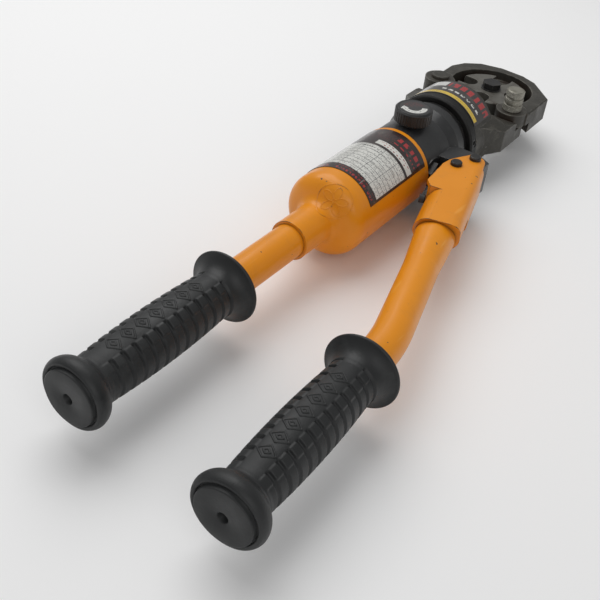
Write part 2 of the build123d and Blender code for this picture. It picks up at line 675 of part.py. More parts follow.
def make_bracket():
    """The pressed bracket: two plates and a folded outer wall at the pins, and the tube's sleeve."""
    heel = along_sleeve(sleeve_length + 4, -sleeve_outer - 1.8)
    inner_low = along_sleeve(sleeve_length - 3, -sleeve_outer + 1.5)
    outer_low = along_sleeve(sleeve_length - 6, sleeve_outer + 1)
    outer_top = along_sleeve(pivot_reach - 4, sleeve_outer + 1)
    outline = [inner_low, heel, (plunger_pin_x - 7.5, plunger_y - 5), (plunger_pin_x - 6.5, plunger_y + 4),
               (pivot_x - 5, pivot_y + 5), (pivot_x + 5, pivot_y + 6), outer_top, outer_low]
    solid = slab(outline, -bracket_half, bracket_half)
    reach = 60
    fold = Pos(sleeve_outer - reach / 2, 0) * Rectangle(reach, 2 * bracket_half)
    fold = fillet(fold.vertices().group_by(Axis.X)[-1], sleeve_fold)
    solid &= across_sleeve(fold, 2 * pivot_reach)
    gap = lug_half + lap
    wall_in = sleeve_outer - plate_thick
    open_from = along_sleeve(pivot_reach - 6, wall_in)
    core = [(-20, 100), (-20, 400), (pivot_x + 30, 400), (pivot_x + 30, open_from[1]), open_from,
            along_sleeve(sleeve_length, wall_in), along_sleeve(sleeve_length, -wall_in),
            along_sleeve(sleeve_length + 2, -sleeve_outer - 9)]
    solid -= slab(core, -gap, gap)
    solid += make_sleeve()
    mouth = along_sleeve(-1)
    solid -= rod((*mouth, 0), (*way, 0), sleeve_bore, sleeve_length - 2)
    for x, y in ((pivot_x, pivot_y), (plunger_pin_x, plunger_y)):
        solid -= rod((x, y, -40), (0, 0, 1), pin_radius + fit, 80)
    return solid


keep("handle_bracket", make_bracket())
bumper_x, bumper_y = along_sleeve(bumper_place, -sleeve_outer - fit)
keep("bracket_bumper", rod((bumper_x, bumper_y, bumper_z), (-side_way[0], -side_way[1], 0), 3.0, 3.6))


def make_pump_tube():
    """The bent pump-handle tube: grip end, bend and a flared end that fills the sleeve."""
    start = (second_grip_x + grip_way[0] * (grip_end_thick + slip),
             second_grip_y + grip_way[1] * (grip_end_thick + slip))
    flare = along_sleeve(-flare_length)
    path = FilletPolyline(start, (bend_x, bend_y), flare, radius=bend_radius)
    mouth = along_sleeve(0)
    solids = []
    for shrink in (0, tube_wall):
        bar = sweep(Plane(origin=path @ 0, z_dir=path % 0) * Circle(tube_radius - shrink), path=path)
        low = Plane(origin=(*flare, 0), z_dir=(*way, 0)) * Circle(tube_radius - shrink)
        high = Plane(origin=(*mouth, 0), z_dir=(*way, 0)) * Circle(tube_flare_radius - shrink)
        cone = loft([low.faces()[0], high.faces()[0]])
        solids.append(bar + cone + rod((*mouth, 0), (*way, 0), tube_flare_radius - shrink,
                                       sleeve_length - 8))
    return solids[0] - solids[1]


keep("pump_handle_tube", make_pump_tube())

# ---------------------------------------------------------------- export
os.makedirs("parts", exist_ok=True)
for name, shape in parts.items():
    solid = shape if len(shape.solids()) > 1 else shape.solids()[0]
    solid.label = name
    export_step(solid, f"parts/{name}.step")
    print(name, len(shape.solids()), round(shape.volume))
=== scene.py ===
# %% [markdown]
# # A hand-pumped hydraulic crimping tool
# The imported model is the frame: every tube, pin and casting is already in place, in metres. This
# script gives each piece the finish of the real one, and replaces the few pieces whose moulded or
# printed surface needs a finer mesh than an exact solid gives: the rubber grips and the labels.

import json
import math

import bmesh
import bpy
import numpy as np
from mathutils import Matrix, Vector


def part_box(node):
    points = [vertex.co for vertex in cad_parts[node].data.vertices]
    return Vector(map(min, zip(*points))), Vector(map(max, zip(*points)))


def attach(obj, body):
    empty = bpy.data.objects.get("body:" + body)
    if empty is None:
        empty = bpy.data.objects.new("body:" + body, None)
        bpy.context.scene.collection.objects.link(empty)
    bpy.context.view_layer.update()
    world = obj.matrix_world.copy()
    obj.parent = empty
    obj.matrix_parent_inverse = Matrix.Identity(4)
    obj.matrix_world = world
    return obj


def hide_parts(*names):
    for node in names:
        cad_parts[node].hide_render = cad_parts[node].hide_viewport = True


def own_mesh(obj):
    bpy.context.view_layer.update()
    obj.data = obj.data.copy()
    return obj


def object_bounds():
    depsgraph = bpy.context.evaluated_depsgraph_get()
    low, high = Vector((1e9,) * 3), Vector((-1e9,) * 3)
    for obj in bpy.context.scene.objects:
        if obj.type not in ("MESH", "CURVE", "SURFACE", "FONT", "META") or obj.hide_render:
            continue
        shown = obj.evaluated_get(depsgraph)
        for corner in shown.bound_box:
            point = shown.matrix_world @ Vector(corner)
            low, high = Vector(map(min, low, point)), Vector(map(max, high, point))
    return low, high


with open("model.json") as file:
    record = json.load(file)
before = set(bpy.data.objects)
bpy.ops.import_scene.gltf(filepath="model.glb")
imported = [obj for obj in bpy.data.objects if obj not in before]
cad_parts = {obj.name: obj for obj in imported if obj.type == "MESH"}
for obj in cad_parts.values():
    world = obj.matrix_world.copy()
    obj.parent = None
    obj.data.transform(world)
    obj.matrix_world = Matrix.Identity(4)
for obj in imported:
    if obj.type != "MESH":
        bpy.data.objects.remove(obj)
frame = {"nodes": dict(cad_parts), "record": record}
cad_low, cad_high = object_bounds()
nodes = frame["nodes"]
MM = 0.001
print("frame:", len(nodes), "nodes, size in mm", [round((b - a) / MM) for a, b in zip(cad_low, cad_high)])


# %% [markdown]
# ## Camera, floor and light
# The tool is seen from behind its grips and above its right side, so the camera is rolled a little.
# A camera's own axes are the columns of its matrix: right, up and backwards. The light is a plain
# studio: a pale world, one large lamp above and behind, and a fill beside the camera.

# %% Camera
def add_camera():
    """The camera, set by its place and its three axes."""
    forward = Vector((-0.40256, 0.68736, -0.60455))
    right = Vector((0.81809, 0.56646, 0.09930))
    up = Vector((-0.41071, 0.45460, 0.79035))
    lens = bpy.data.cameras.new("camera")
    lens.sensor_width = 36.0
    lens.lens = 57.49
    camera = bpy.data.objects.new("camera", lens)
    bpy.context.scene.collection.objects.link(camera)
    place = (0.25483, -0.22927, 0.32430)
    turn = Matrix((right, up, -forward)).transposed().to_4x4()
    camera.matrix_world = Matrix.Translation(place) @ turn
    bpy.context.scene.camera = camera
    return camera


print("camera at", [round(v, 3) for v in add_camera().location])


# %% Floor and lights
def add_floor(height):
    """A wide pale plane that isn't part of the object."""
    floor_mesh = bpy.data.meshes.new("floor")
    wide = 6.0
    corners = [(-wide, -wide, height), (wide, -wide, height), (wide, wide, height), (-wide, wide, height)]
    floor_mesh.from_pydata(corners, [], [(0, 1, 2, 3)])
    floor = bpy.data.objects.new("floor", floor_mesh)
    bpy.context.scene.collection.objects.link(floor)
    paper = bpy.data.materials.new("pale_paper")
    paper.use_nodes = True
    paper.node_tree.nodes["Principled BSDF"].inputs["Base Color"].default_value = (0.93, 0.93, 0.93, 1)
    paper.node_tree.nodes["Principled BSDF"].inputs["Roughness"].default_value = 0.9
    floor_mesh.materials.append(paper)


def add_lamp(name, place, target, size, power):
    """A square area lamp that points at a target."""
    lamp_data = bpy.data.lights.new(name, "AREA")
    lamp_data.size = size
    lamp_data.energy = power
    lamp = bpy.data.objects.new(name, lamp_data)
    bpy.context.scene.collection.objects.link(lamp)
    aim = (Vector(target) - Vector(place)).to_track_quat("-Z", "Y")
    lamp.matrix_world = Matrix.Translation(place) @ aim.to_matrix().to_4x4()


floor_gap = 0.0005
key_place, key_size, key_watts = Vector((-0.55, 0.25, 1.1)), 1.2, 10.5
fill_place, fill_size, fill_watts = Vector((0.9, -0.9, 0.8)), 1.0, 3.8
world_strength = 0.36

add_floor(cad_low.z - floor_gap)
middle = (cad_low + cad_high) / 2
add_lamp("key", middle + key_place, middle, key_size, key_watts)
add_lamp("fill", middle + fill_place, middle, fill_size, fill_watts)
world = bpy.data.worlds.new("studio")
bpy.context.scene.world = world
world.use_nodes = True
world.node_tree.nodes["Background"].inputs["Color"].default_value = (1, 1, 1, 1)
world.node_tree.nodes["Background"].inputs["Strength"].default_value = world_strength
bpy.context.scene.view_settings.view_transform = "Standard"
print("floor at", round(cad_low.z, 4), "with two lamps and a white world")


# %% [markdown]
# ## How a finish is built
# A finish is a small graph of nodes. Writing each graph by hand is long, so this class keeps one
# material and adds steps to it: noise for uneven colour, a mask for worn edges, marks for scratches,
# and bump. Patterns read Object coordinates, in metres, so a scale of 400 gives grain 2.5 mm wide.

# %% The finish helper
class Finish:
    """A node material that grows one step at a time."""

    def __init__(self, name, rough, metal=0.0, coat=0.0):
        self.material = bpy.data.materials.new(name)
        self.material.use_nodes = True
        self.tree = self.material.node_tree
        self.shader = self.tree.nodes["Principled BSDF"]
        self.shader.inputs["Roughness"].default_value = rough
        self.shader.inputs["Metallic"].default_value = metal
        self.shader.inputs["Coat Weight"].default_value = coat
        self.shader.inputs["Coat Roughness"].default_value = 0.12
        self.place = self.tree.nodes.new("ShaderNodeTexCoord").outputs["Object"]

    def node(self, kind, inputs, **settings):
        """One node, with its inputs given by name or number as a value or another node's output."""
        made = self.tree.nodes.new(kind)
        for key, value in settings.items():
            setattr(made, key, value)
        for key, value in inputs.items():
            if isinstance(value, bpy.types.NodeSocket):
                self.tree.links.new(value, made.inputs[key])
            else:
                made.inputs[key].default_value = value
        return made

    def noise(self, scale, detail=4.0, rough=0.55, stretch=(1, 1, 1)):
        """Soft noise from 0 to 1, which can be stretched along an axis."""
        where = self.node("ShaderNodeMapping", {"Vector": self.place, "Scale": stretch})
        made = self.node("ShaderNodeTexNoise", {"Vector": where.outputs[0], "Scale": scale,
                                                "Detail": detail, "Roughness": rough})
        return made.outputs["Fac"]

    def ramp(self, value, low, high, from_value=0.0, to_value=1.0):
        """Spreads the band from low to high over two values, and holds outside it."""
        made = self.node("ShaderNodeMapRange", {"Value": value, "From Min": low, "From Max": high,
                                                "To Min": from_value, "To Max": to_value})
        return made.outputs[0]

    def math(self, work, first, second=0.0):
        """One sum on two values."""
        return self.node("ShaderNodeMath", {0: first, 1: second}, operation=work).outputs[0]

    def inside(self, value, low, high):
        """1 where a value is between two limits, else 0."""
        above = self.math("GREATER_THAN", value, low)
        return self.math("MULTIPLY", above, self.math("LESS_THAN", value, high))

    def mix(self, mask, first, second):
        """The first colour where the mask is 0, the second where it is 1."""
        made = self.node("ShaderNodeMix", {}, data_type="RGBA")
        for index, value in ((0, mask), (6, first), (7, second)):
            if isinstance(value, bpy.types.NodeSocket):
                self.tree.links.new(value, made.inputs[index])
            else:
                made.inputs[index].default_value = value if index == 0 else (*value, 1.0)
        return made.outputs[2]

    def axes(self):
        """The X, Y and Z of the place on the object."""
        return self.node("ShaderNodeSeparateXYZ", {0: self.place}).outputs

    def edges(self, width, sharp=0.06):
        """1 on outside and inside edges, where a rounded normal differs from the flat one."""
        soft = self.node("ShaderNodeBevel", {"Radius": width}, samples=6).outputs[0]
        flat = self.node("ShaderNodeNewGeometry", {}).outputs["Normal"]
        along = self.node("ShaderNodeVectorMath", {0: soft, 1: flat}, operation="DOT_PRODUCT")
        return self.ramp(along.outputs["Value"], 1.0 - sharp, 1.0, 1.0, 0.0)

    def finish(self, colour, rough=None, height=None, depth=0.0002, strength=0.5, round_edges=0.0):
        """Connects the colour, the roughness and the bump, and gives back the material."""
        self.tree.links.new(colour, self.shader.inputs["Base Color"])
        if rough is not None:
            self.tree.links.new(rough, self.shader.inputs["Roughness"])
        normal = None
        if round_edges:
            normal = self.node("ShaderNodeBevel", {"Radius": round_edges}, samples=6).outputs[0]
        if height is not None:
            bump = self.node("ShaderNodeBump", {"Height": height, "Strength": strength,
                                                "Distance": depth})
            if normal is not None:
                self.tree.links.new(normal, bump.inputs["Normal"])
            normal = bump.outputs[0]
        if normal is not None:
            self.tree.links.new(normal, self.shader.inputs["Normal"])
        print("finish:", self.material.name)
        return self.material


# %% [markdown]
# ## Orange enamel
# The reservoir, both handle tubes and the bracket are stoved in one warm orange. Hard use leaves it
# glossy but not clean: a slow drift in colour, small dark chips and fine pale scratches, and painted
# shade darkens the corners. The coat layer gives the gloss, and a faint orange peel breaks it up.

# %% Orange enamel
def make_orange_enamel():
    """Worn glossy enamel."""
    paint = Finish("orange_enamel", 0.34, coat=0.12)
    paint.shader.inputs["Specular IOR Level"].default_value = 0.36
    drift = paint.noise(14, 3)
    colour = paint.mix(drift, (0.72, 0.240, 0.004), (0.85, 0.310, 0.008))
    dust = paint.ramp(paint.noise(60, 6, 0.7), 0.52, 0.72, 0.0, 0.30)
    colour = paint.mix(dust, colour, (0.58, 0.22, 0.03))
    scratch = paint.noise(150, 2, 0.5, (1.0, 0.06, 1.0))
    scratch = paint.ramp(scratch, 0.70, 0.74, 0.0, 0.35)
    colour = paint.mix(scratch, colour, (0.88, 0.44, 0.10))
    chips = paint.ramp(paint.noise(330, 2, 0.4), 0.755, 0.77)
    worn = paint.math("MULTIPLY", paint.edges(0.0009), paint.ramp(paint.noise(110, 5), 0.50, 0.58))
    bare = paint.math("MAXIMUM", chips, worn)
    colour = paint.mix(bare, colour, (0.085, 0.05, 0.03))
    # Painted shade: an ambient occlusion mask darkens the orange in corners, creases and between parts.
    corner_shade = paint.node("ShaderNodeAmbientOcclusion", {"Distance": 0.006}, samples=6).outputs["AO"]
    colour = paint.mix(paint.ramp(corner_shade, 0.25, 0.85, 0.75, 0.0), colour, (0.22, 0.085, 0.02))
    rough = paint.ramp(paint.noise(40, 5), 0.3, 0.7, 0.28, 0.44)
    height = paint.math("SUBTRACT", paint.noise(420, 2), paint.math("MULTIPLY", bare, 1.5))
    return paint.finish(colour, rough, height, 0.00012, 0.35, 0.0005)


orange_enamel = make_orange_enamel()


# %% [markdown]
# ## Grip rubber
# Moulded rubber is nearly black, with a soft sheen. Handling polishes the high parts and leaves pale
# dust in the grooves, and the mould leaves a fine grain.

# %% Grip rubber
def make_grip_rubber():
    """Handled black rubber."""
    rubber = Finish("grip_rubber", 0.5)
    rubber.shader.inputs["Specular IOR Level"].default_value = 0.42
    colour = rubber.mix(rubber.noise(22, 4), (0.0095, 0.0105, 0.0110), (0.0190, 0.0200, 0.0205))
    smudge = rubber.ramp(rubber.noise(48, 6, 0.7), 0.53, 0.74, 0.0, 0.55)
    colour = rubber.mix(smudge, colour, (0.042, 0.044, 0.044))
    rub = rubber.math("MULTIPLY", rubber.edges(0.0012, 0.10), rubber.ramp(rubber.noise(140, 4), 0.42, 0.7))
    colour = rubber.mix(rubber.math("MULTIPLY", rub, 0.5), colour, (0.060, 0.061, 0.060))
    rough = rubber.ramp(rubber.noise(36, 5), 0.3, 0.7, 0.38, 0.60)
    height = rubber.math("ADD", rubber.noise(900, 3), rubber.math("MULTIPLY", rubber.noise(120, 3), 1.6))
    return rubber.finish(colour, rough, height, 0.00018, 0.45)


grip_rubber = make_grip_rubber()


# %% [markdown]
# ## Black pump paint
# The pump body is a machined casting in a semi-gloss charcoal paint. It is smoother than the rubber,
# with soft cloudy patches of oil film.

# %% Charcoal paint
def make_charcoal_paint():
    """Semi-gloss paint on the pump body."""
    paint = Finish("charcoal_paint", 0.42, coat=0.1)
    colour = paint.mix(paint.noise(30, 4), (0.013, 0.0135, 0.0145), (0.026, 0.027, 0.028))
    film = paint.ramp(paint.noise(70, 6, 0.65), 0.55, 0.72, 0.0, 0.5)
    colour = paint.mix(film, colour, (0.046, 0.046, 0.044))
    worn = paint.math("MULTIPLY", paint.edges(0.0008), paint.ramp(paint.noise(160, 4), 0.5, 0.62))
    colour = paint.mix(paint.math("MULTIPLY", worn, 0.6), colour, (0.20, 0.195, 0.185))
    rough = paint.ramp(paint.noise(50, 5), 0.3, 0.7, 0.34, 0.55)
    height = paint.math("ADD", paint.noise(500, 3), paint.noise(140, 3))
    return paint.finish(colour, rough, height, 0.0002, 0.35, 0.0006)


charcoal_paint = make_charcoal_paint()


# %% [markdown]
# ## Forged head steel
# The head and the yoke are forged, then phosphated dark. The forging skin is uneven, so its bump is
# coarse, and every corner that meets a cable or a toolbox is rubbed back to brighter steel. Oil and
# rust settle on the floor of the yoke round the die.

# %% Head steel
def make_head_steel():
    """Dark forged steel with rubbed edges and stained hollows."""
    steel = Finish("head_steel", 0.52, metal=0.35)
    colour = steel.mix(steel.noise(45, 6, 0.7), (0.027, 0.0255, 0.0215), (0.068, 0.064, 0.054))
    blotch = steel.ramp(steel.noise(110, 6, 0.75), 0.50, 0.70, 0.0, 0.75)
    colour = steel.mix(blotch, colour, (0.105, 0.099, 0.082))
    hollow = steel.node("ShaderNodeAmbientOcclusion", {"Distance": 0.012}, samples=6).outputs["AO"]
    rust = steel.math("MULTIPLY", steel.ramp(hollow, 0.35, 0.9, 1.0, 0.0),
                      steel.ramp(steel.noise(75, 5), 0.38, 0.62))
    colour = steel.mix(rust, colour, (0.040, 0.022, 0.014))
    rub = steel.math("MULTIPLY", steel.edges(0.0014, 0.09), steel.ramp(steel.noise(130, 5), 0.36, 0.62))
    colour = steel.mix(rub, colour, (0.215, 0.204, 0.176))
    scratch = steel.ramp(steel.noise(260, 2, 0.5, (0.10, 1.0, 1.0)), 0.69, 0.74, 0.0, 0.5)
    colour = steel.mix(scratch, colour, (0.19, 0.182, 0.165))
    # Painted shade: the steel behind the label's rear edge is darkened almost to black, for the shadowed
    # groove where the barrel meets the pump body.
    rear_shade_band = steel.math("LESS_THAN", steel.axes()[1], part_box("head_label")[0].y)
    colour = steel.mix(steel.math("MULTIPLY", rear_shade_band, 0.93), colour, (0.007, 0.007, 0.007))
    rough = steel.ramp(steel.noise(60, 6), 0.3, 0.7, 0.40, 0.66)
    height = steel.math("ADD", steel.noise(330, 5, 0.65), steel.math("MULTIPLY", steel.noise(85, 3), 2.2))
    return steel.finish(colour, rough, height, 0.00042, 0.55, 0.0010)


head_steel = make_head_steel()


# %% [markdown]
# ## Machined and turned steels
# The remaining metal pieces share one recipe with different numbers: a base colour, a stain colour,
# how bright the edges rub, and how metallic they look. One function with named inputs makes them all.

# %% Small steels
def make_steel(name, base, stain, rubbed, metal, rough, grain, turned_along=None):
    """Machined steel: colour drift, oil stains, rubbed edges and fine tool marks."""
    steel = Finish(name, rough, metal=metal)
    colour = steel.mix(steel.noise(60, 5), base, tuple(1.35 * c for c in base))
    colour = steel.mix(steel.ramp(steel.noise(150, 6, 0.7), 0.48, 0.70, 0.0, 0.8), colour, stain)
    rub = steel.math("MULTIPLY", steel.edges(0.0006, 0.10), steel.ramp(steel.noise(210, 4), 0.35, 0.6))
    colour = steel.mix(rub, colour, rubbed)
    roughness = steel.ramp(steel.noise(90, 5), 0.3, 0.7, rough - 0.09, rough + 0.12)
    height = steel.noise(grain, 3)
    if turned_along is not None:
        lines = steel.node("ShaderNodeTexWave", {"Vector": steel.place, "Scale": 700.0},
                           bands_direction=turned_along).outputs["Fac"]
        height = steel.math("ADD", height, steel.math("MULTIPLY", lines, 0.5))
    return steel.finish(colour, roughness, height, 0.00010, 0.5, 0.0003)


die_steel = make_steel("die_steel", (0.13, 0.125, 0.11), (0.060, 0.045, 0.034), (0.34, 0.33, 0.30),
                       0.55, 0.42, 420)
latch_steel = make_steel("latch_steel", (0.24, 0.232, 0.195), (0.13, 0.115, 0.085), (0.52, 0.50, 0.44),
                         0.6, 0.38, 520, "Z")
bright_steel = make_steel("bright_steel", (0.50, 0.50, 0.49), (0.33, 0.32, 0.29), (0.75, 0.75, 0.74),
                          0.95, 0.22, 600, "Y")
black_oxide = make_steel("black_oxide", (0.022, 0.022, 0.022), (0.045, 0.040, 0.035), (0.16, 0.155, 0.15),
                         0.5, 0.42, 460)
spring_steel = make_steel("spring_steel", (0.25, 0.25, 0.26), (0.14, 0.13, 0.11), (0.45, 0.45, 0.45),
                          0.9, 0.33, 500)


# %% [markdown]
# ## Soft black plastic and seals
# The release knob is moulded plastic with a fine satin grain. The seals are plain nitrile rubber.

# %% Knob plastic and seals
def make_black_plastic(name, dark, pale, rough, grain):
    """Moulded black plastic or rubber with a slight dusty bloom."""
    plastic = Finish(name, rough)
    colour = plastic.mix(plastic.noise(90, 4), dark, pale)
    bloom = plastic.math("MULTIPLY", plastic.edges(0.0006, 0.12),
                         plastic.ramp(plastic.noise(300, 3), 0.4, 0.6))
    colour = plastic.mix(plastic.math("MULTIPLY", bloom, 0.4), colour, (0.070, 0.070, 0.070))
    roughness = plastic.ramp(plastic.noise(120, 4), 0.3, 0.7, rough - 0.08, rough + 0.1)
    return plastic.finish(colour, roughness, plastic.noise(grain, 3), 0.00010, 0.4, 0.0004)


knob_plastic = make_black_plastic("knob_plastic", (0.009, 0.009, 0.0095), (0.017, 0.017, 0.0175), 0.42, 1100)
seal_rubber = make_black_plastic("seal_rubber", (0.012, 0.012, 0.012), (0.026, 0.026, 0.026), 0.58, 900)


# %% [markdown]
# ## Paint every carried-over node
# The record names a material slot for each node, so one table from slot to finish paints them all.

# %% Paint the nodes
slot_finish = {
    "orange_paint": orange_enamel,
    "black_rubber": grip_rubber,
    "charcoal_paint": charcoal_paint,
    "head_steel": head_steel,
    "die_steel": die_steel,
    "latch_metal": latch_steel,
    "black_oxide": black_oxide,
    "bright_steel": bright_steel,
    "seal_rubber": seal_rubber,
    "label_film": knob_plastic,
    "knob_plastic": knob_plastic,
    "spring_steel": spring_steel,
}


def paint(piece, material):
    """Makes a material the only one on a piece."""
    piece.data.materials.clear()
    piece.data.materials.append(material)


for part in frame["record"]["subparts"]:
    paint(nodes[part["node"]], slot_finish[part["material_slot"]])


# %% [markdown]
# ## Moulded grips
# Each grip is turned round its own axis and then broken up by rule: twelve raised bands run round it
# and stop at a smooth panel on top. A rule like this is quickest in code: every point of a fine
# lathe takes its radius from how far along and how far round it lies. The bands have soft shoulders,
# as rubber out of a mould does, and stand a little higher where they begin beside the panel.

# %% Shapes that the grips share
grip_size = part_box("rear_grip")
grip_long = (grip_size[1].y - grip_size[0].y) / MM
flange_radius = grip_size[1].z / MM
end_radius = 20.2
waist_radius = 14.4
belly_radius = 16.2
cap_radius = 16.0
cap_rise = 2.4
band_count = 12
band_start = cap_rise + 13.5
band_end = grip_long - 12.0
band_pitch = (band_end - band_start) / band_count
panel_half = 25.0


def smooth_step(low, high, value):
    """0 below low, 1 above high, and an even S between them."""
    part = np.clip((value - low) / (high - low), 0.0, 1.0)
    return part * part * (3 - 2 * part)


def arc_points(start, through, end, count):
    """Points on the arc through three (y, radius) points, without the first."""
    (ax, ay), (bx, by), (cx, cy) = start, through, end
    d = 2 * (ax * (by - cy) + bx * (cy - ay) + cx * (ay - by))
    ux = ((ax**2 + ay**2) * (by - cy) + (bx**2 + by**2) * (cy - ay) + (cx**2 + cy**2) * (ay - by)) / d
    uy = ((ax**2 + ay**2) * (cx - bx) + (bx**2 + by**2) * (ax - cx) + (cx**2 + cy**2) * (bx - ax)) / d
    radius = math.hypot(ax - ux, ay - uy)
    first = math.atan2(ay - uy, ax - ux)
    half = math.remainder(math.atan2(by - uy, bx - ux) - first, math.tau)
    last = math.remainder(math.atan2(cy - uy, cx - ux) - first, math.tau)
    if half * last < 0 or abs(half) > abs(last):
        last -= math.copysign(math.tau, last)
    turns = [first + last * step / count for step in range(1, count + 1)]
    return [(ux + radius * math.cos(turn), uy + radius * math.sin(turn)) for turn in turns]


# %% The grip's outline
def grip_outline():
    """(y, radius) in mm from the vent hole, over the end flange, along the grip and into its bore."""
    vent, bore = 2.9, 11.1
    outline = [(12.0, vent), (0.4, vent), (0.0, vent + 0.4), (0.0, cap_radius - 0.7)]
    outline += arc_points((0.0, cap_radius - 0.7), (0.2, cap_radius - 0.2), (0.7, cap_radius), 4)
    outline += [(cap_rise + 0.5, cap_radius + 0.1), (cap_rise + 0.7, cap_radius + 0.5)]
    outline += arc_points((cap_rise + 0.7, cap_radius + 0.5), (cap_rise - 0.6, cap_radius + 1.9),
                          (cap_rise + 0.3, end_radius - 0.8), 8)
    outline += arc_points((cap_rise + 0.3, end_radius - 0.8), (cap_rise + 2.2, end_radius),
                          (cap_rise + 5.0, end_radius - 0.1), 6)
    outline += arc_points((cap_rise + 5.0, end_radius - 0.1), (cap_rise + 8.6, end_radius - 1.7),
                          (cap_rise + 11.0, waist_radius + 1.2), 10)
    outline += [(band_start, waist_radius)]
    middle, half = (band_start + band_end) / 2, (band_end - band_start) / 2
    for step in range(1, band_count * 24):
        y = band_start + (band_end - band_start) * step / (band_count * 24)
        outline.append((y, waist_radius + (belly_radius - waist_radius) * (1 - ((y - middle) / half) ** 2)))
    outline += [(band_end, waist_radius)]
    rim = grip_long - 1.5
    outline += arc_points((band_end, waist_radius), (grip_long - 6.2, waist_radius + 2.2),
                          (rim - 1.2, flange_radius - 1.0), 14)
    outline += arc_points((rim - 1.2, flange_radius - 1.0), (rim + 0.1, flange_radius),
                          (grip_long - 0.4, flange_radius - 0.9), 8)
    outline += [(grip_long, flange_radius - 2.0), (grip_long - 0.2, 16.0), (grip_long - 0.6, bore + 0.8),
                (grip_long - 1.2, bore), (grip_long - 5.0, bore)]
    return np.array(outline)


def band_drop(y, turn):
    """How far the surface lies under the outline, in mm, at a place and an angle from the top."""
    along = (y - band_start) / band_pitch - 0.72
    part = along - np.floor(along)
    groove = smooth_step(0.0, 0.09, part) * (1 - smooth_step(0.30, 0.39, part))
    groove *= smooth_step(-0.02, 0.02, along) * smooth_step(-0.02, 0.02, band_count - 0.14 - along)
    away = np.abs(turn)
    past_panel = smooth_step(panel_half - 1.0, panel_half + 1.6, away)
    step_down = smooth_step(47.0, 49.0, away) * (1 - groove)
    on_bands = smooth_step(band_start, band_start + 3, y) * (1 - smooth_step(band_end - 3, band_end, y))
    return past_panel * (1.7 * groove + 0.6 * step_down * on_bands) + 0.4 * (1 - past_panel) * on_bands


# %% Build both grips
def build_grip(name, place, segments=180):
    """One grip as a lathe whose radius follows the outline less the band rule."""
    outline = grip_outline()
    turns = np.linspace(-180, 180, segments, endpoint=False)
    y, turn = np.meshgrid(outline[:, 0], turns, indexing="ij")
    radius = outline[:, 1][:, None] * np.ones_like(turn)
    banded = (y > band_start) & (y < band_end) & (radius > waist_radius - 0.1)
    radius = radius - np.where(banded, band_drop(y, turn), 0.0)
    angle = np.radians(turn)
    points = np.stack([radius * np.sin(angle), y, radius * np.cos(angle)], axis=-1).reshape(-1, 3) * MM
    faces = []
    for row in range(len(outline) - 1):
        for column in range(segments):
            a, b = row * segments + column, row * segments + (column + 1) % segments
            faces.append((a, a + segments, b + segments, b))
    faces.append(tuple(range(segments)))
    faces.append(tuple(len(points) - 1 - column for column in range(segments)))
    mesh = bpy.data.meshes.new(name)
    mesh.from_pydata(points.tolist(), [], faces)
    mesh.transform(place)
    shell = bmesh.new()
    shell.from_mesh(mesh)
    bmesh.ops.recalc_face_normals(shell, faces=shell.faces)
    shell.to_mesh(mesh)
    shell.free()
    mesh.shade_smooth()
    grip = bpy.data.objects.new(name, mesh)
    bpy.context.scene.collection.objects.link(grip)
    paint(grip, grip_rubber)
    print(name, len(mesh.polygons), "faces")
    return grip


pump_grip_end, pump_grip_lean = (0.1013, -0.0093, 0), math.radians(1.95)
pump_grip_place = Matrix.Translation(pump_grip_end) @ Matrix.Rotation(pump_grip_lean, 4, "Z")
grips = {}
for node, body, place in (("rear_grip", "tool_body", Matrix.Identity(4)),
                          ("pump_grip", "pump_handle", pump_grip_place)):
    grips[node] = build_grip(node + "_moulding", place)
    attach(grips[node], body)
    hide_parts(node)


# %% [markdown]
# ## Raised marks laid on a surface
# The smooth panel of each grip carries a row of raised marks, and the shoulder of the reservoir a
# cast rosette. Both are plain patterns. A Geometry Nodes tree suits this: it sets copies of one
# outline along a line, realises them, and drops every point onto the piece below with a ray, so the
# marks follow a surface that the tree knows nothing about.

# %% The tree that lays marks
def tree_inputs(tree, entries):
    """Adds named inputs with default values, and gives back the input node and identifiers."""
    known = {}
    for label, kind, value in entries:
        item = tree.interface.new_socket(name=label, in_out="INPUT", socket_type=kind)
        if value is not None:
            item.default_value = value
        known[label] = item.identifier
    tree.interface.new_socket(name="Geometry", in_out="OUTPUT", socket_type="NodeSocketGeometry")
    return tree.nodes.new("NodeGroupInput").outputs, known


def wire(tree, kind, inputs, **settings):
    """One node of a tree, with inputs given as values or sockets."""
    made = tree.nodes.new(kind)
    for key, value in settings.items():
        setattr(made, key, value)
    for key, value in inputs.items():
        if isinstance(value, bpy.types.NodeSocket):
            tree.links.new(value, made.inputs[key])
        else:
            made.inputs[key].default_value = value
    return made


def close_tree(tree, geometry, finish):
    """Ends a tree in Realize Instances and Set Material."""
    real = wire(tree, "GeometryNodeRealizeInstances", {0: geometry})
    coloured = wire(tree, "GeometryNodeSetMaterial", {0: real.outputs[0], "Material": finish})
    tree.links.new(coloured.outputs[0], tree.nodes.new("NodeGroupOutput").inputs[0])


